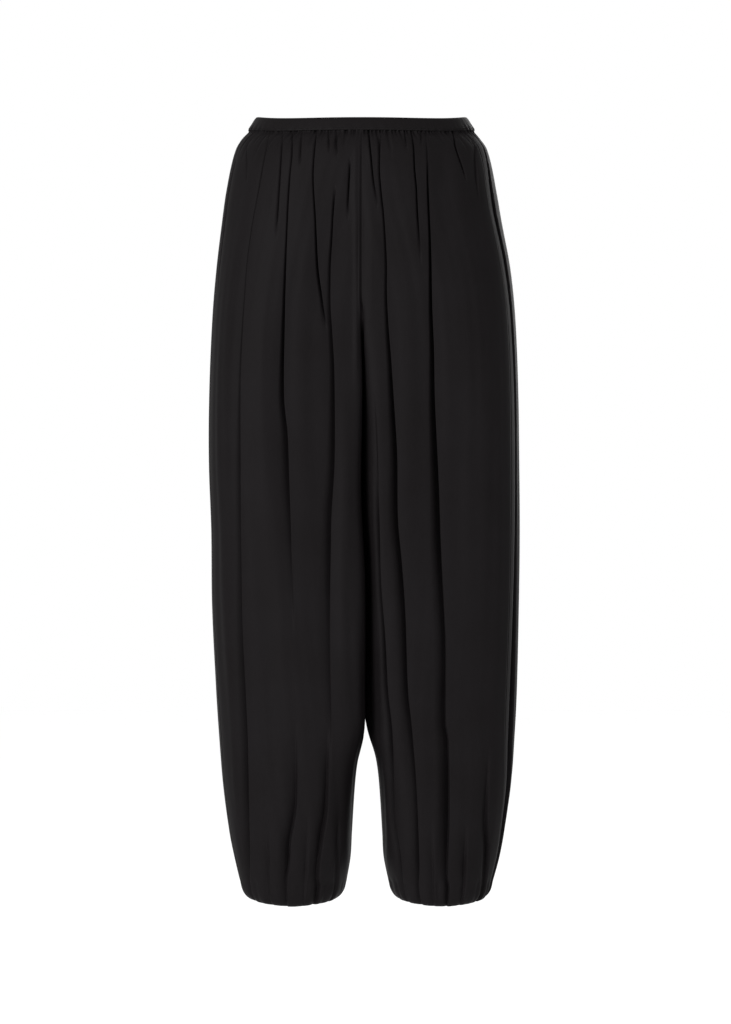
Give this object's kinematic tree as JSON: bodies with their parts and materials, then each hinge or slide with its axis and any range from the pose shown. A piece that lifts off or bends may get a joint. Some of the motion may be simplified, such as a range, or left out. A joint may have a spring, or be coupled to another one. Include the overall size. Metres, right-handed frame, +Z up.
{
  "type": "balloon trousers",
  "caption": "Hollow worn-form balloon trousers with a narrow elastic waistband, long gathered folds and balloon hems drawn in at the ankles.",
  "frame": {"origin": "centre of the waist opening, 7 mm below the waistband's top edge at the sides and back, and 3 mm above it in front", "axes": "+Z up, -Y towards the front of the trousers, +X towards the wearer's left"},
  "size_m": [0.3908, 0.2595, 0.9798],
  "materials": {
    "cloth": "black crepe-back satin with a soft dull sheen",
    "waistband": "the same black cloth stretched over elastic",
    "elastic": "black cloth-covered elastic"
  },
  "bodies": {
    "root": {"waistband": "waistband", "front_left": "cloth", "front_right": "cloth", "back_left": "cloth", "back_right": "cloth", "cuff_left": "elastic", "cuff_right": "elastic"}
  },
  "joints": []
}
